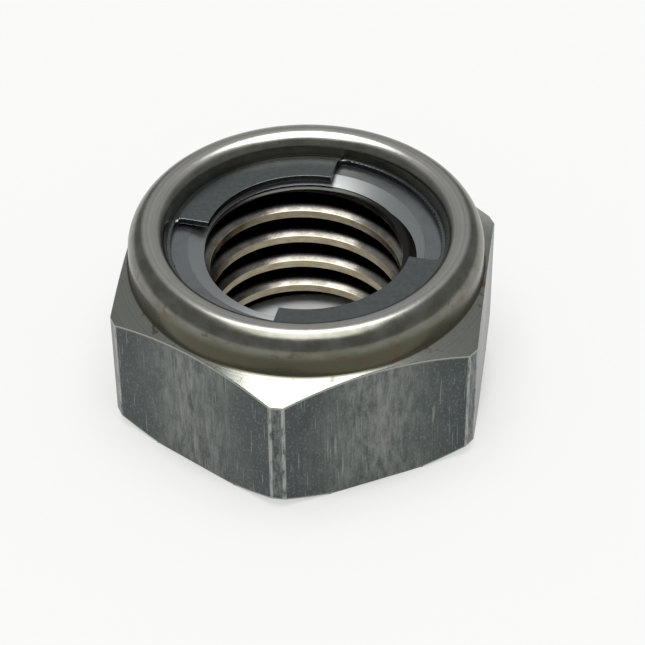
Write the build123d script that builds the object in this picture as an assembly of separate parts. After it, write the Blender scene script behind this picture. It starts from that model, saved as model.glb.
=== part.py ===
from build123d import *
import math
import os

# Two-piece all-metal prevailing-torque hex nut for an M12 x 1.75 thread.
# The steel body carries a thin turned collar above its hexagon. A pressed
# spring-steel locking ring lies in a recess on top of the thread, and the collar is
# rolled inwards over its rim, which holds it for good. Two tabs of the ring reach
# in to the thread and grip the bolt.
#
# Millimetres, +Z up. The bearing face lies on Z = 0, the thread axis is the Z axis
# and one corner of the hexagon points along -Y.

# Hexagon
ACROSS_FLATS = 19.0
CORNER_REACH = 10.77         # from the axis to the blunted corners
CROWN_ANGLE = 30.0           # of the top and bottom crowns, from the horizontal
TOP_CORNER_HEIGHT = 6.92     # where the top crown cuts a corner
BEARING_RADIUS = 9.8         # outer edge of the bearing face

# Thread (M12 x 1.75, right-hand): the bore is at its minor diameter
MINOR_DIAMETER = 10.106
ENTRY_RADIUS = 6.2           # countersink in the bearing face
ENTRY_ANGLE = 30.0           # of the countersink, from the horizontal

# Recess for the ring, on top of the thread
RECESS_FLOOR = 8.57
RECESS_RADIUS = 7.95
DISH_RADIUS = 6.15           # inside this the floor dips towards the thread
DISH_DEPTH = 0.12

# Collar, rolled inwards over the ring
COLLAR_RADIUS = 9.28
COLLAR_TOP = 10.05
CREST_RADIUS = 8.18          # highest circle of the roll
OUTER_ROLL_HEIGHT = 1.25
INNER_ROLL_HEIGHT = 0.8
THROAT_RADIUS = 7.32         # where the inner side of the roll stands upright
LIP_TIP_RADIUS = 7.22        # edge that holds the ring down

# Locking ring, pressed from strip
RING_THICKNESS = 0.35
RIM_INNER_RADIUS = 7.05
TAB_SPAN = 90.0
LOW_TAB_START = 263.5        # degrees from +X, anticlockwise seen from above
LOW_TAB_INNER_RADIUS = 5.48
HIGH_TAB_START = 83.5
HIGH_TAB_INNER_RADIUS = 5.28
HIGH_TAB_LIFT = 0.13
JOGGLE_OUTER_RADIUS = 7.12
JOGGLE_INNER_RADIUS = 6.85
TAB_ROOT_RADIUS = 0.4

BORE_RADIUS = MINOR_DIAMETER / 2
CROWN_SLOPE = math.tan(math.radians(CROWN_ANGLE))
ENTRY_DEPTH = (ENTRY_RADIUS - BORE_RADIUS) * math.tan(math.radians(ENTRY_ANGLE))
RIM_TOP = RECESS_FLOOR + RING_THICKNESS
TURNED_RADIUS = CORNER_REACH + 1.0     # of the turned form, clear of the hexagon


def hexagon_bar():
    """Hexagon bar as tall as the nut, with blunted corners, one of them along -Y."""
    sharp_reach = ACROSS_FLATS / 2 / math.cos(math.pi / 6)
    outline = RegularPolygon(sharp_reach, 6, rotation=30)
    outline = chamfer(outline.vertices(), 2 * (sharp_reach - CORNER_REACH))
    return extrude(outline, COLLAR_TOP)


def turned_section():
    """Half section of the body: crowns, rolled collar, recess, bore and countersink."""
    foot_edge = (TURNED_RADIUS - BEARING_RADIUS) * CROWN_SLOPE
    crown_edge = TOP_CORNER_HEIGHT - (TURNED_RADIUS - CORNER_REACH) * CROWN_SLOPE
    crown_top = TOP_CORNER_HEIGHT + (CORNER_REACH - COLLAR_RADIUS) * CROWN_SLOPE
    roll_start = COLLAR_TOP - OUTER_ROLL_HEIGHT
    throat_height = COLLAR_TOP - INNER_ROLL_HEIGHT
    with BuildSketch(Plane.XZ) as section:
        with BuildLine():
            Polyline(
                (BEARING_RADIUS, 0),
                (TURNED_RADIUS, foot_edge),
                (TURNED_RADIUS, crown_edge),
                (COLLAR_RADIUS, crown_top),
                (COLLAR_RADIUS, roll_start),
            )
            EllipticalCenterArc(
                (CREST_RADIUS, roll_start),
                COLLAR_RADIUS - CREST_RADIUS,
                OUTER_ROLL_HEIGHT,
                start_angle=0,
                arc_size=90,
            )
            EllipticalCenterArc(
                (CREST_RADIUS, throat_height),
                CREST_RADIUS - THROAT_RADIUS,
                INNER_ROLL_HEIGHT,
                start_angle=90,
                arc_size=90,
            )
            Polyline(
                (THROAT_RADIUS, throat_height),
                (LIP_TIP_RADIUS, RIM_TOP),
                (RECESS_RADIUS, RIM_TOP),
                (RECESS_RADIUS, RECESS_FLOOR),
                (DISH_RADIUS, RECESS_FLOOR),
                (BORE_RADIUS, RECESS_FLOOR - DISH_DEPTH),
                (BORE_RADIUS, ENTRY_DEPTH),
                (ENTRY_RADIUS, 0),
                (BEARING_RADIUS, 0),
            )
        make_face()
    return section.sketch


def nut_body():
    """The turned form cut to the hexagon, which leaves the crown arcs on its flats."""
    return revolve(turned_section(), Axis.Z) & hexagon_bar()


def tab_blank(start, inner_radius):
    """Plan of one tab: a sector with radial ends that runs out into the rim."""
    with BuildSketch() as blank:
        with BuildLine():
            inner = CenterArc((0, 0), inner_radius, start, TAB_SPAN)
            outer = CenterArc((0, 0), RECESS_RADIUS, start, TAB_SPAN)
            Line(inner @ 0, outer @ 0)
            Line(inner @ 1, outer @ 1)
        make_face()
    return blank.sketch


def ring_blank():
    """Plan of the ring: its rim, two opposite tabs and the windows between them."""
    outline = Circle(RECESS_RADIUS) - Circle(RIM_INNER_RADIUS)
    outline += tab_blank(LOW_TAB_START, LOW_TAB_INNER_RADIUS)
    outline += tab_blank(HIGH_TAB_START, HIGH_TAB_INNER_RADIUS)
    tab_roots = outline.vertices().filter_by(
        lambda v: abs(math.hypot(v.X, v.Y) - RIM_INNER_RADIUS) < RING_THICKNESS / 10
    )
    return fillet(tab_roots, TAB_ROOT_RADIUS)


def pressed_half(tab_start, tab_inner_radius, lift):
    """Half turn of the strip around one tab, whose inner part is pressed up by lift."""
    profile = Polyline(
        (RECESS_RADIUS, 0, RECESS_FLOOR),
        (JOGGLE_OUTER_RADIUS, 0, RECESS_FLOOR),
        (JOGGLE_INNER_RADIUS, 0, RECESS_FLOOR + lift),
        (tab_inner_radius, 0, RECESS_FLOOR + lift),
        (tab_inner_radius, 0, RIM_TOP + lift),
        (JOGGLE_INNER_RADIUS, 0, RIM_TOP + lift),
        (JOGGLE_OUTER_RADIUS, 0, RIM_TOP),
        (RECESS_RADIUS, 0, RIM_TOP),
        close=True,
    )
    half = revolve(make_face(profile), Axis.Z, 180)
    return Rot(Z=tab_start + TAB_SPAN / 2 - 90) * half


def locking_insert():
    """Pressed ring: the low tab lies level with the rim and the high one stands proud."""
    strip = pressed_half(LOW_TAB_START, LOW_TAB_INNER_RADIUS, 0)
    strip += pressed_half(HIGH_TAB_START, HIGH_TAB_INNER_RADIUS, HIGH_TAB_LIFT)
    return strip & extrude(ring_blank(), COLLAR_TOP)


os.makedirs("parts", exist_ok=True)
export_step(nut_body(), "parts/nut_body.step")
export_step(locking_insert(), "parts/locking_insert.step")
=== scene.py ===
import math
import bpy
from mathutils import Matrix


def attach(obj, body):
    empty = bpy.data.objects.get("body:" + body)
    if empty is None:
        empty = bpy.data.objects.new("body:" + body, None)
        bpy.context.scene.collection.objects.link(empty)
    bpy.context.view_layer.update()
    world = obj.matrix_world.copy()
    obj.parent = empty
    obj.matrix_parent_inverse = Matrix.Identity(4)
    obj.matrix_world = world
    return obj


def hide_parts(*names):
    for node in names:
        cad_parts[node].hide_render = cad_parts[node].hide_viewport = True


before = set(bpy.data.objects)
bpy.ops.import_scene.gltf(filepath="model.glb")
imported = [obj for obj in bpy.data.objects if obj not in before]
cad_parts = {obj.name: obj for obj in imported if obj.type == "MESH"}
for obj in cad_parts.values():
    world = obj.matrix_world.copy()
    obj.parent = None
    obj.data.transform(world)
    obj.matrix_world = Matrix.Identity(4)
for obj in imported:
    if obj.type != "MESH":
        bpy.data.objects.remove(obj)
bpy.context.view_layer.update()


# ---------------------------------------------------------------- nut body, as turned
# The steel body was turned from hexagon bar: two crowns, a recess for the locking
# ring and a thin collar that is rolled inwards over it. It is drawn in millimetres
# and brought to metres once its finishes are on.

ACROSS_FLATS = 19.0
CORNER_REACH = 10.77
BEARING_RADIUS = 9.8
TOP_CORNER_HEIGHT = 6.92
COLLAR_RADIUS = 9.28
COLLAR_TOP = 10.05
CREST_RADIUS = 8.18
OUTER_ROLL_HEIGHT = 1.25
INNER_ROLL_HEIGHT = 0.8
THROAT_RADIUS = 7.32
LIP_TIP_RADIUS = 7.22
RECESS_RADIUS = 7.95
RECESS_FLOOR = 8.57
DISH_RADIUS = 6.18
DISH_INNER_RADIUS = 5.3
DISH_DEPTH = 0.17
RING_THICKNESS = 0.35
BORE_RADIUS = 5.053
ENTRY_RADIUS = 6.2
CROWN_SLOPE = math.tan(math.radians(30))
EDGE_BEVEL = 0.045


def quarter_roll(centre_r, centre_z, half_width, height, start, steps=10):
    """Points of a quarter ellipse, in radius and height, for a rolled edge."""
    turns = [math.radians(start + 90 * i / steps) for i in range(steps + 1)]
    return [(centre_r + half_width * math.cos(t), centre_z + height * math.sin(t)) for t in turns]


def draw_outline(name, points):
    """Draws a closed outline by extruding one point along it."""
    bpy.ops.object.select_all(action="DESELECT")
    bpy.ops.mesh.primitive_plane_add(size=1, location=(0, 0, 0))
    piece = bpy.context.object
    piece.name = name
    piece.data.name = name
    bpy.ops.object.mode_set(mode="EDIT")
    bpy.ops.mesh.merge(type="CENTER")
    bpy.ops.transform.translate(value=points[0])
    for here, there in zip(points, points[1:] + points[:1]):
        step = [b - a for a, b in zip(here, there)]
        bpy.ops.mesh.extrude_region_move(TRANSFORM_OT_translate={"value": step})
    bpy.ops.mesh.select_all(action="SELECT")
    bpy.ops.mesh.remove_doubles(threshold=1e-4)
    return piece


def draw_section(name, points):
    """Draws a closed half section, given in radius and height, in the XZ plane."""
    return draw_outline(name, [(r, 0, z) for r, z in points])


def spin_section(steps):
    """Spins the drawn section once round the thread axis and closes it."""
    bpy.ops.mesh.spin(steps=steps, angle=math.tau, center=(0, 0, 0), axis=(0, 0, 1))
    bpy.ops.mesh.select_all(action="SELECT")
    bpy.ops.mesh.remove_doubles(threshold=1e-4)
    bpy.ops.mesh.normals_make_consistent(inside=False)


def apply_modifier(piece, kind, **settings):
    """Adds a modifier with its settings and applies it."""
    bpy.ops.object.select_all(action="DESELECT")
    piece.select_set(True)
    bpy.context.view_layer.objects.active = piece
    modifier = piece.modifiers.new(kind.lower(), kind)
    for setting, value in settings.items():
        setattr(modifier, setting, value)
    bpy.ops.object.modifier_apply(modifier=modifier.name)


def to_metres(piece):
    """Brings a piece to metres about the origin, a hair narrow so that no bevel stands out."""
    bpy.ops.object.select_all(action="DESELECT")
    piece.select_set(True)
    bpy.context.view_layer.objects.active = piece
    bpy.ops.object.mode_set(mode="EDIT")
    bpy.ops.mesh.select_all(action="SELECT")
    bpy.ops.transform.resize(value=(0.0009995, 0.0009995, 0.001), center_override=(0, 0, 0))
    bpy.ops.object.mode_set(mode="OBJECT")


# The edge bevels spread the faces beside them by a few microns, so these start short
SPREAD = 0.011
blank_radius = CORNER_REACH + 1
roll_start = COLLAR_TOP - OUTER_ROLL_HEIGHT
throat_height = COLLAR_TOP - INNER_ROLL_HEIGHT
rim_top = RECESS_FLOOR + RING_THICKNESS
body = draw_section("threaded_nut_body", [
    (BEARING_RADIUS, SPREAD),
    (blank_radius, (blank_radius - BEARING_RADIUS) * CROWN_SLOPE),
    (blank_radius, TOP_CORNER_HEIGHT - CROWN_SLOPE),
    (COLLAR_RADIUS, TOP_CORNER_HEIGHT + (CORNER_REACH - COLLAR_RADIUS) * CROWN_SLOPE),
    *quarter_roll(CREST_RADIUS, roll_start, COLLAR_RADIUS - CREST_RADIUS, OUTER_ROLL_HEIGHT, 0),
    *quarter_roll(CREST_RADIUS, throat_height, CREST_RADIUS - THROAT_RADIUS, INNER_ROLL_HEIGHT, 90)[1:],
    (LIP_TIP_RADIUS, rim_top),
    (RECESS_RADIUS, rim_top),
    (RECESS_RADIUS, RECESS_FLOOR),
    (DISH_RADIUS, RECESS_FLOOR),
    (DISH_INNER_RADIUS, RECESS_FLOOR - DISH_DEPTH),
    (BORE_RADIUS, RECESS_FLOOR - DISH_DEPTH - (DISH_INNER_RADIUS - BORE_RADIUS) / 2),
    (BORE_RADIUS, (ENTRY_RADIUS - BORE_RADIUS) * CROWN_SLOPE),
    (ENTRY_RADIUS, SPREAD),
])
spin_section(192)
for turn in range(6):
    for start, reach in ((0, ACROSS_FLATS / 2 - SPREAD), (30, CORNER_REACH - SPREAD)):
        way = math.radians(start + 60 * turn)
        across = (math.cos(way), math.sin(way), 0)
        bpy.ops.mesh.select_all(action="SELECT")
        bpy.ops.mesh.bisect(
            plane_co=[reach * c for c in across],
            plane_no=across,
            use_fill=True,
            clear_outer=True,
            threshold=1e-5,
        )
bpy.ops.object.mode_set(mode="OBJECT")
apply_modifier(body, "BEVEL", width=EDGE_BEVEL, segments=2, limit_method="ANGLE",
               angle_limit=math.radians(20), use_clamp_overlap=False)


# ---------------------------------------------------------------- thread
# The M12 x 1.75 right-hand thread is tapped right through, so it runs out in the
# floor of the recess and in the countersink of the bearing face.

PITCH = 1.75
CREST_WIDTH = PITCH / 4
FLANK_SLOPE = math.tan(math.radians(30))
GROOVE_ROOT_RADIUS = 6.08
GROOVE_ON_X = -1.778         # height of the first groove's middle on the X axis
TAP_OVERLAP = 0.25           # how far the tap's teeth start inside the bore

tooth_base = BORE_RADIUS - TAP_OVERLAP
half_mouth = (PITCH - CREST_WIDTH) / 2 + TAP_OVERLAP * FLANK_SLOPE
half_root = half_mouth - (GROOVE_ROOT_RADIUS - tooth_base) * FLANK_SLOPE
tap = draw_section("tap", [
    (tooth_base, GROOVE_ON_X - half_mouth),
    (GROOVE_ROOT_RADIUS, GROOVE_ON_X - half_root),
    (GROOVE_ROOT_RADIUS, GROOVE_ON_X + half_root),
    (tooth_base, GROOVE_ON_X + half_mouth),
])
bpy.ops.object.mode_set(mode="OBJECT")
apply_modifier(tap, "SCREW", axis="Z", angle=math.tau, screw_offset=PITCH, iterations=7,
               steps=120, render_steps=120)
bpy.ops.object.mode_set(mode="EDIT")
bpy.ops.mesh.select_all(action="SELECT")
bpy.ops.mesh.fill_holes(sides=0)
bpy.ops.mesh.normals_make_consistent(inside=False)
bpy.ops.object.mode_set(mode="OBJECT")
apply_modifier(body, "BOOLEAN", operation="DIFFERENCE", object=tap, solver="EXACT")
bpy.data.objects.remove(tap)
bpy.ops.object.shade_smooth_by_angle(angle=math.radians(18))
apply_modifier(body, "WEIGHTED_NORMAL", keep_sharp=True)


# ---------------------------------------------------------------- finishes of the body
# Five finishes on one piece of steel: the dark drawn skin of the flats, the turned
# crowns and collar, the faced floor of the recess, its dished mouth and the thread.

def linear(hex_colour):
    """An sRGB hex colour as linear red, green, blue and alpha."""
    parts = [int(hex_colour[i:i + 2], 16) / 255 for i in (1, 3, 5)]
    return [p / 12.92 if p <= 0.04045 else ((p + 0.055) / 1.055) ** 2.4 for p in parts] + [1]


def new_metal(name):
    """A new metal material: itself, its node tree and its shader."""
    material = bpy.data.materials.new(name)
    material.use_nodes = True
    shader = material.node_tree.nodes["Principled BSDF"]
    shader.inputs["Metallic"].default_value = 1
    return material, material.node_tree, shader


def add_node(tree, kind, sockets, **settings):
    """Adds one node. Each named socket gets a value or the output that feeds it."""
    node = tree.nodes.new(kind)
    for name, value in settings.items():
        setattr(node, name, value)
    for socket, value in sockets.items():
        if isinstance(value, bpy.types.NodeSocket):
            tree.links.new(value, node.inputs[socket])
        else:
            node.inputs[socket].default_value = value
    return node


def turned_place(tree):
    """The place on a turned piece in millimetres, with its radius and height."""
    metres = add_node(tree, "ShaderNodeTexCoord", {}).outputs["Object"]
    place = add_node(tree, "ShaderNodeVectorMath", {0: metres, "Scale": 1000}, operation="SCALE").outputs[0]
    flat = add_node(tree, "ShaderNodeVectorMath", {0: place, 1: (1, 1, 0)}, operation="MULTIPLY").outputs[0]
    radius = add_node(tree, "ShaderNodeVectorMath", {0: flat}, operation="LENGTH").outputs["Value"]
    height = add_node(tree, "ShaderNodeSeparateXYZ", {0: place}).outputs["Z"]
    return place, radius, height


def grain(tree, place, size_mm, detail, roughness):
    """A pattern whose marks are about size_mm long in X, Y and Z."""
    spread = add_node(tree, "ShaderNodeMapping", {"Vector": place, "Scale": [1 / size for size in size_mm]})
    return add_node(tree, "ShaderNodeTexNoise", {
        "Vector": spread.outputs[0], "Scale": 1, "Detail": detail, "Roughness": roughness,
    }).outputs["Fac"]


def paint(tree, colour, layers):
    """Lays colours over one another. Each layer has the amount that it follows, where that
    amount leaves it out and where it makes it full, its strength and its colour."""
    for amount, absent, full, strength, over in layers:
        mask = add_node(tree, "ShaderNodeMapRange", {
            "Value": amount, "From Min": absent, "From Max": full, "To Max": strength,
        }, interpolation_type="SMOOTHSTEP")
        mix = add_node(tree, "ShaderNodeMix", {
            0: mask.outputs[0], 6: colour, 7: linear(over) if isinstance(over, str) else over,
        }, data_type="RGBA")
        colour = mix.outputs[2]
    return colour


# Cold-drawn steel: a dark grey skin with fine lengthwise streaks and specks, which makes
# the flats look dull. It has lighter scuffs in the middle of a flat and painted shade that
# darkens it towards its corners, and is rubbed bright along the crowns' edges and beside
# the flattened corners. Streaks and specks are finer on the real piece and are drawn
# 0.1 mm wide so that they show.
CORNER_HALF_WIDTH = 0.34
RUB_HALF_WIDTH = 0.13

drawn, tree, shader = new_metal("cold_drawn_steel")
place, radius, height = turned_place(tree)
streaks = grain(tree, place, (0.12, 0.12, 4.0), 3, 0.6)
blotches = grain(tree, place, (1.8, 1.8, 2.4), 4, 0.6)
specks = grain(tree, place, (0.11, 0.11, 0.16), 2, 0.6)
scratches = grain(tree, place, (0.10, 0.10, 2.4), 1, 0.5)
scuffs = grain(tree, place, (0.38, 0.38, 1.5), 5, 0.75)
nicks = grain(tree, place, (0.22, 0.22, 0.9), 4, 0.7)
parts = add_node(tree, "ShaderNodeSeparateXYZ", {0: place}).outputs
heading = add_node(tree, "ShaderNodeMath", {0: parts["Y"], 1: parts["X"]}, operation="ARCTAN2").outputs[0]
heading = add_node(tree, "ShaderNodeMath", {0: heading, 1: math.pi / 6}, operation="SUBTRACT").outputs[0]
turn = add_node(tree, "ShaderNodeMath", {0: heading, 1: math.pi / 6}, operation="PINGPONG").outputs[0]
sideways = add_node(tree, "ShaderNodeMath", {0: turn, 1: radius}, operation="MULTIPLY").outputs[0]
off_edge = add_node(tree, "ShaderNodeMath", {0: sideways, 1: CORNER_HALF_WIDTH},
                    operation="SUBTRACT").outputs[0]
off_edge = add_node(tree, "ShaderNodeMath", {0: off_edge}, operation="ABSOLUTE").outputs[0]
crown_rise = add_node(tree, "ShaderNodeMath", {0: radius, 1: CROWN_SLOPE, 2: height},
                      operation="MULTIPLY_ADD").outputs[0]
foot_rise = add_node(tree, "ShaderNodeMath", {0: radius, 1: -CROWN_SLOPE, 2: height},
                     operation="MULTIPLY_ADD").outputs[0]
scuffed = add_node(tree, "ShaderNodeMapRange", {
    "Value": scuffs, "From Min": 0.34, "From Max": 0.70, "To Max": 0.8,
}, interpolation_type="SMOOTHSTEP").outputs[0]
nicked = add_node(tree, "ShaderNodeMapRange", {
    "Value": nicks, "From Min": 0.42, "From Max": 0.62, "To Max": 0.5,
}, interpolation_type="SMOOTHSTEP").outputs[0]
rubbed = add_node(tree, "ShaderNodeMapRange", {
    "Value": nicks, "From Min": 0.30, "From Max": 0.55, "To Max": 0.85,
}, interpolation_type="SMOOTHSTEP").outputs[0]
crown_edge = TOP_CORNER_HEIGHT + CORNER_REACH * CROWN_SLOPE
foot_edge = -BEARING_RADIUS * CROWN_SLOPE
skin = paint(tree, linear("#535957"), [
    (streaks, 0.36, 0.64, 1, "#636866"),
    (blotches, 0.66, 0.40, 1, "#4c5452"),
    (sideways, 1.5, 4.6, scuffed, "#8b8c8a"),
    # painted shade: each flat is darkened within about 3 mm of its corners
    (sideways, 3.0, 0.6, 0.6, "#41474a"),
    (specks, 0.50, 0.72, 0.5, "#7b7e7a"),
    (scratches, 0.66, 0.74, 0.4, "#9fa19c"),
    (sideways, CORNER_HALF_WIDTH, CORNER_HALF_WIDTH - 0.06, nicked, "#8d8f8a"),
    (off_edge, RUB_HALF_WIDTH, 0.04, rubbed, "#a9aba6"),
    (crown_rise, crown_edge - 0.16, crown_edge - 0.04, 0.75, "#a5a49c"),
    (foot_rise, foot_edge + 0.15, foot_edge + 0.06, 0.75, "#a5a49c"),
])
rough = add_node(tree, "ShaderNodeMapRange", {"Value": blotches, "To Min": 0.24, "To Max": 0.38})
bump = add_node(tree, "ShaderNodeBump", {"Height": streaks, "Strength": 0.25, "Distance": 0.00001})
tree.links.new(skin, shader.inputs["Base Color"])
tree.links.new(rough.outputs[0], shader.inputs["Roughness"])
tree.links.new(bump.outputs[0], shader.inputs["Normal"])

# Turned steel: feed marks round the axis, a crest rubbed bright, a collar that turns darker
# brown towards its foot and a few rust spots at its root, which give a clean highlight on a dirty part.
# Real feed marks are finer than can be seen here and are drawn 0.07 mm wide.
turned, tree, shader = new_metal("turned_steel")
place, radius, height = turned_place(tree)
section_place = add_node(tree, "ShaderNodeCombineXYZ", {0: radius, 1: height}).outputs[0]
rings = grain(tree, section_place, (0.07, 0.07, 1), 3, 0.65)
film = grain(tree, place, (1.1, 1.1, 0.6), 4, 0.65)
spots = grain(tree, place, (0.8, 0.8, 0.6), 4, 0.7)
above_flats = add_node(tree, "ShaderNodeMapRange", {
    "Value": height, "From Min": TOP_CORNER_HEIGHT - 0.92, "From Max": TOP_CORNER_HEIGHT - 0.32,
}, interpolation_type="SMOOTHSTEP").outputs[0]
on_collar = add_node(tree, "ShaderNodeMapRange", {
    "Value": radius, "From Min": COLLAR_RADIUS + 0.14, "From Max": COLLAR_RADIUS + 0.02,
    "To Max": above_flats,
}, interpolation_type="SMOOTHSTEP").outputs[0]
coated = add_node(tree, "ShaderNodeMath", {0: on_collar, 1: 0.9}, operation="MULTIPLY").outputs[0]
crest_outside = add_node(tree, "ShaderNodeMapRange", {
    "Value": radius, "From Min": CREST_RADIUS + 0.44, "From Max": CREST_RADIUS + 0.18,
    "To Max": coated,
}, interpolation_type="SMOOTHSTEP").outputs[0]
root_outside = add_node(tree, "ShaderNodeMapRange", {
    "Value": radius, "From Min": COLLAR_RADIUS + 0.92, "From Max": COLLAR_RADIUS + 0.32,
    "To Max": 0.6,
}, interpolation_type="SMOOTHSTEP").outputs[0]
at_root = add_node(tree, "ShaderNodeMapRange", {
    "Value": radius, "From Min": COLLAR_RADIUS - 0.28, "From Max": COLLAR_RADIUS - 0.08,
    "To Max": root_outside,
}, interpolation_type="SMOOTHSTEP").outputs[0]
bare = paint(tree, linear("#97988f"), [(rings, 0.30, 0.70, 1, "#a3a49c")])
olive = paint(tree, linear("#68685d"), [(film, 0.35, 0.65, 1, "#7c7c73")])
crest = paint(tree, linear("#c2bfb8"), [(rings, 0.30, 0.70, 1, "#dad7d0")])
coat = add_node(tree, "ShaderNodeMix", {0: coated, 6: bare, 7: olive}, data_type="RGBA").outputs[2]
metal = paint(tree, coat, [
    # the collar is made darker brown towards its foot
    (height, roll_start + 0.6, roll_start - 0.2, on_collar, "#514f41"),
    (radius, CREST_RADIUS - 0.68, CREST_RADIUS - 0.40, crest_outside, crest),
    (spots, 0.58, 0.66, at_root, "#5a4636"),
    (spots, 0.80, 0.84, 0.6, "#5a4636"),
])
rough = add_node(tree, "ShaderNodeMapRange", {"Value": film, "To Min": 0.18, "To Max": 0.30})
bump = add_node(tree, "ShaderNodeBump", {"Height": rings, "Strength": 0.3, "Distance": 0.00001})
tree.links.new(metal, shader.inputs["Base Color"])
tree.links.new(rough.outputs[0], shader.inputs["Roughness"])
tree.links.new(bump.outputs[0], shader.inputs["Normal"])

# Faced steel: the floor of the recess, an even grey with faint rings from the facing cut
# and a few dull clouds
faced, tree, shader = new_metal("faced_steel")
place, radius, _ = turned_place(tree)
section_place = add_node(tree, "ShaderNodeCombineXYZ", {0: radius}).outputs[0]
rings = grain(tree, section_place, (0.08, 1, 1), 3, 0.6)
clouds = grain(tree, place, (0.9, 0.9, 0.9), 3, 0.6)
metal = paint(tree, linear("#94989a"), [
    (rings, 0.30, 0.70, 1, "#9ea1a3"),
    (clouds, 0.45, 0.70, 0.4, "#7e8181"),
])
tree.links.new(metal, shader.inputs["Base Color"])
shader.inputs["Roughness"].default_value = 0.27

# Coarsely turned steel: the dished mouth of the bore, whose cutter marks run round the
# axis and draw its shine out across them into a fan
dished, tree, shader = new_metal("coarse_turned_steel")
_, radius, _ = turned_place(tree)
section_place = add_node(tree, "ShaderNodeCombineXYZ", {0: radius}).outputs[0]
rings = grain(tree, section_place, (0.05, 1, 1), 2, 0.6)
metal = paint(tree, linear("#b2b5b4"), [(rings, 0.2, 0.8, 1, "#c6c9c8")])
around = add_node(tree, "ShaderNodeTangent", {}, direction_type="RADIAL", axis="Z")
tree.links.new(metal, shader.inputs["Base Color"])
tree.links.new(around.outputs[0], shader.inputs["Tangent"])
shader.inputs["Roughness"].default_value = 0.42
shader.inputs["Anisotropic"].default_value = 0.85
shader.inputs["Anisotropic Rotation"].default_value = 0.25

# Tapped steel: warm and bright on the lands where a bolt has run, with painted shade that
# makes it black down in the grooves and dark at the first land, in the ring's shadow
tapped, tree, shader = new_metal("tapped_steel")
place, radius, height = turned_place(tree)
film = grain(tree, place, (0.7, 0.7, 0.25), 3, 0.6)
flank = paint(tree, linear("#77746e"), [(film, 0.30, 0.70, 1, "#98948e")])
land = paint(tree, linear("#9a8f78"), [(film, 0.30, 0.70, 1, "#b5ac98")])
metal = paint(tree, flank, [
    (radius, BORE_RADIUS + 0.067, BORE_RADIUS + 0.017, 1, land),
    # painted shadow of the ring on the first land
    (height, RECESS_FLOOR - 0.87, RECESS_FLOOR - 0.57, 1, "#3c3b38"),
    # painted shade down in the grooves, where the tooth above shades the flank
    (radius, BORE_RADIUS + 0.207, BORE_RADIUS + 0.427, 1, "#1d1a17"),
])
tree.links.new(metal, shader.inputs["Base Color"])
shader.inputs["Roughness"].default_value = 0.2

for finish in (turned, drawn, faced, dished, tapped):
    body.data.materials.append(finish)
for face in body.data.polygons:
    reach = math.hypot(face.center.x, face.center.y)
    level = face.center.z - RECESS_FLOOR
    faces_up = face.normal.z > 0.95
    if abs(face.normal.z) < 0.1 and reach > COLLAR_RADIUS + 0.15:
        face.material_index = 1
    elif faces_up and reach > DISH_RADIUS - 0.02 and abs(level) < 0.1:
        face.material_index = 2
    elif faces_up and reach < DISH_RADIUS and level > -0.2:
        face.material_index = 3
    elif reach < ENTRY_RADIUS and level < 0:
        face.material_index = 4
to_metres(body)
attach(body, "root")
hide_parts("nut_body")


# ---------------------------------------------------------------- locking ring
# Blanked and pressed from spring-steel strip. Two opposite tabs reach in to the
# thread between two windows; one of them is pressed up a little. The rolled collar
# holds the ring by its rim.

RIM_INNER_RADIUS = 7.05
JOGGLE_INNER_RADIUS = 6.82
LOW_TAB_INNER_RADIUS = 5.48
HIGH_TAB_INNER_RADIUS = 5.28
HIGH_TAB_LIFT = 0.13
HIGH_TAB_START = 83.5        # degrees
TAB_ANGLE = 90
TAB_MARGIN = 4               # degrees taken in beyond the sheared ends of a tab
WINDOW_STARTS = (-6.5, 173.5)
WINDOW_CORNER_RADIUS = 0.4
PUNCH_LENGTH = 3

ring = draw_section("pressed_locking_ring", [
    (RECESS_RADIUS, RECESS_FLOOR),
    (RECESS_RADIUS, rim_top),
    (RIM_INNER_RADIUS, rim_top),
    (JOGGLE_INNER_RADIUS, rim_top),
    (LOW_TAB_INNER_RADIUS, rim_top),
    (LOW_TAB_INNER_RADIUS, RECESS_FLOOR),
    (JOGGLE_INNER_RADIUS, RECESS_FLOOR),
    (RIM_INNER_RADIUS, RECESS_FLOOR),
])
spin_section(180)
bpy.ops.object.mode_set(mode="OBJECT")


def window_outline():
    """A quarter of a disc in X and Y, with its two outer corners rounded."""
    reach = RIM_INNER_RADIUS - WINDOW_CORNER_RADIUS
    turn = math.asin(WINDOW_CORNER_RADIUS / reach)
    swing = [-math.pi / 2 + (math.pi / 2 + turn) * i / 6 for i in range(7)]
    corner = [(reach * math.cos(turn) + WINDOW_CORNER_RADIUS * math.cos(t),
               WINDOW_CORNER_RADIUS * (1 + math.sin(t))) for t in swing]
    sweep = [turn + (math.pi / 2 - 2 * turn) * i / 40 for i in range(1, 40)]
    rim = [(RIM_INNER_RADIUS * math.cos(t), RIM_INNER_RADIUS * math.sin(t)) for t in sweep]
    return [(0, 0), *corner, *rim, *[(y, x) for x, y in reversed(corner)]]


# Each window is blanked out by a punch that passes right through the strip
for start in WINDOW_STARTS:
    across, along = math.cos(math.radians(start)), math.sin(math.radians(start))
    punch = draw_outline("window_punch", [
        (x * across - y * along, x * along + y * across, RECESS_FLOOR - 1)
        for x, y in window_outline()
    ])
    bpy.ops.mesh.edge_face_add()
    bpy.ops.mesh.extrude_region_move(TRANSFORM_OT_translate={"value": (0, 0, PUNCH_LENGTH)})
    bpy.ops.mesh.select_all(action="SELECT")
    bpy.ops.mesh.normals_make_consistent(inside=False)
    bpy.ops.object.mode_set(mode="OBJECT")
    apply_modifier(ring, "BOOLEAN", operation="DIFFERENCE", object=punch, solver="EXACT")
    bpy.data.objects.remove(punch)


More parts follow.
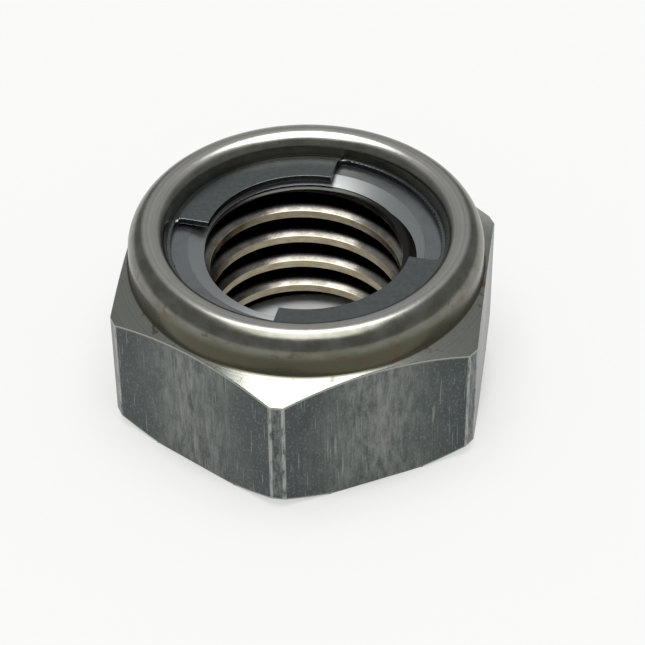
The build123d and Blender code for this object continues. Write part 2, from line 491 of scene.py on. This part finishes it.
def select_high_tab(piece, outer):
    """Selects the points of the high tab inside a radius and opens edit mode."""
    bpy.ops.object.mode_set(mode="EDIT")
    bpy.ops.mesh.select_all(action="DESELECT")
    bpy.ops.object.mode_set(mode="OBJECT")
    for point in piece.data.vertices:
        angle = (math.degrees(math.atan2(point.co.y, point.co.x)) - HIGH_TAB_START) % 360
        beside = angle < TAB_ANGLE + TAB_MARGIN or angle > 360 - TAB_MARGIN
        point.select = beside and math.hypot(point.co.x, point.co.y) < outer
    bpy.ops.object.mode_set(mode="EDIT")


select_high_tab(ring, JOGGLE_INNER_RADIUS + 0.1)
bpy.ops.transform.translate(value=(0, 0, HIGH_TAB_LIFT))
bpy.ops.object.mode_set(mode="OBJECT")
select_high_tab(ring, LOW_TAB_INNER_RADIUS + 0.05)
shrink = HIGH_TAB_INNER_RADIUS / LOW_TAB_INNER_RADIUS
bpy.ops.transform.resize(value=(shrink, shrink, 1), center_override=(0, 0, RECESS_FLOOR))
bpy.ops.object.mode_set(mode="OBJECT")
apply_modifier(ring, "BEVEL", width=EDGE_BEVEL, segments=2, limit_method="ANGLE",
               angle_limit=math.radians(45), use_clamp_overlap=False)
bpy.ops.object.shade_smooth_by_angle(angle=math.radians(32))
apply_modifier(ring, "WEIGHTED_NORMAL", keep_sharp=True)
to_metres(ring)

# Tempered spring steel: blue-grey and matt under a faint mottled oxide, so that it reads
# as darker and colder than the turned body
spring, tree, shader = new_metal("tempered_spring_steel")
place, _, _ = turned_place(tree)
mottle = grain(tree, place, (0.22, 0.22, 0.22), 4, 0.65)
metal = paint(tree, linear("#747a7a"), [(mottle, 0.35, 0.65, 1, "#808585")])
bump = add_node(tree, "ShaderNodeBump", {"Height": mottle, "Strength": 0.2, "Distance": 0.00001})
tree.links.new(metal, shader.inputs["Base Color"])
tree.links.new(bump.outputs[0], shader.inputs["Normal"])
shader.inputs["Roughness"].default_value = 0.26

# Sheared edge: torn, and painted near black as shade on the tabs' upright walls and ends, so that the tabs
# are drawn by dark lines
sheared, tree, shader = new_metal("shaded_sheared_edge")
place, _, _ = turned_place(tree)
tears = grain(tree, place, (0.08, 0.08, 0.3), 2, 0.5)
metal = paint(tree, linear("#2c2d2d"), [(tears, 0.35, 0.65, 1, "#404242")])
tree.links.new(metal, shader.inputs["Base Color"])
shader.inputs["Roughness"].default_value = 0.4

for finish in (spring, sheared):
    ring.data.materials.append(finish)
# upright faces, the tabs' walls and sheared ends, get the painted shade
for face in ring.data.polygons:
    face.material_index = 1 if abs(face.normal.z) < 0.3 else 0
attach(ring, "root")
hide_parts("locking_insert")


# ---------------------------------------------------------------- floor
# A large sheet of white paper that the nut stands on, uncoated and lying flat.

FLOOR_SIZE = 6
SHADOW_RADIUS = 8.5          # millimetres, like the radius below
GLOW_RADIUS = 10.5
GLOW_SHARE = 0.62

bpy.ops.object.select_all(action="DESELECT")
bpy.ops.mesh.primitive_plane_add(size=FLOOR_SIZE, location=(0, 0, 0))
floor = bpy.context.object
floor.name = "paper_floor"

# White paper: matt and nearly pure white. What is seen of it is part glow, so that it
# stays pale, but not under the nut, where its shadow is left alone.
paper = bpy.data.materials.new("white_paper")
paper.use_nodes = True
tree = paper.node_tree
shader = tree.nodes["Principled BSDF"]
shader.inputs["Base Color"].default_value = linear("#f6f6f5")
shader.inputs["Roughness"].default_value = 0.9
shader.inputs["Specular IOR Level"].default_value = 0.2
glow = add_node(tree, "ShaderNodeEmission", {"Color": linear("#f9f9f7"), "Strength": 1})
rays = add_node(tree, "ShaderNodeLightPath", {}).outputs
seen = add_node(tree, "ShaderNodeMath", {0: rays["Is Glossy Ray"], 1: rays["Is Transmission Ray"]},
                operation="MAXIMUM").outputs[0]
seen = add_node(tree, "ShaderNodeMath", {0: rays["Is Camera Ray"], 1: seen},
                operation="MAXIMUM").outputs[0]
_, radius, _ = turned_place(tree)
clear_of_nut = add_node(tree, "ShaderNodeMapRange", {
    "Value": radius, "From Min": SHADOW_RADIUS, "From Max": GLOW_RADIUS, "To Max": GLOW_SHARE,
}, interpolation_type="SMOOTHSTEP").outputs[0]
share = add_node(tree, "ShaderNodeMath", {0: seen, 1: clear_of_nut}, operation="MULTIPLY").outputs[0]
mixed = add_node(tree, "ShaderNodeMixShader", {0: share, 1: shader.outputs[0], 2: glow.outputs[0]})
tree.links.new(mixed.outputs[0], tree.nodes["Material Output"].inputs["Surface"])
floor.data.materials.append(paper)


# ---------------------------------------------------------------- light and camera
# One large soft lamp overhead in an even grey room, and a camera that looks down
# over the nearest corner of the hexagon.

lamp = bpy.data.lights.new("overhead_lamp", "AREA")
lamp.shape = "RECTANGLE"
lamp.size = 0.8
lamp.size_y = 0.86
lamp.energy = 8.8
lamp_holder = bpy.data.objects.new("overhead_lamp", lamp)
bpy.context.scene.collection.objects.link(lamp_holder)
lamp_holder.location = (0.008, -0.055, 1.0)
lamp_holder.rotation_euler = (0, 0, math.radians(8.6))

world = bpy.data.worlds.new("grey_room")
world.use_nodes = True
world.node_tree.nodes["Background"].inputs["Color"].default_value = linear("#9c9e9f")
world.node_tree.nodes["Background"].inputs["Strength"].default_value = 1
bpy.context.scene.world = world
bpy.context.scene.view_settings.view_transform = "Standard"

SENSOR_WIDTH = 36
IMAGE_WIDTH = 645            # pixels
FOCAL_LENGTH = 2422.851      # pixels

camera_data = bpy.data.cameras.new("camera")
camera_data.sensor_width = SENSOR_WIDTH
camera_data.lens = FOCAL_LENGTH / IMAGE_WIDTH * SENSOR_WIDTH
camera_data.clip_start = 0.01
camera = bpy.data.objects.new("camera", camera_data)
bpy.context.scene.collection.objects.link(camera)
camera.location = (0.0145958, -0.0963958, 0.0888780)
camera.rotation_euler = [math.radians(a) for a in (48.683, 0.371, 7.804)]
bpy.context.scene.camera = camera
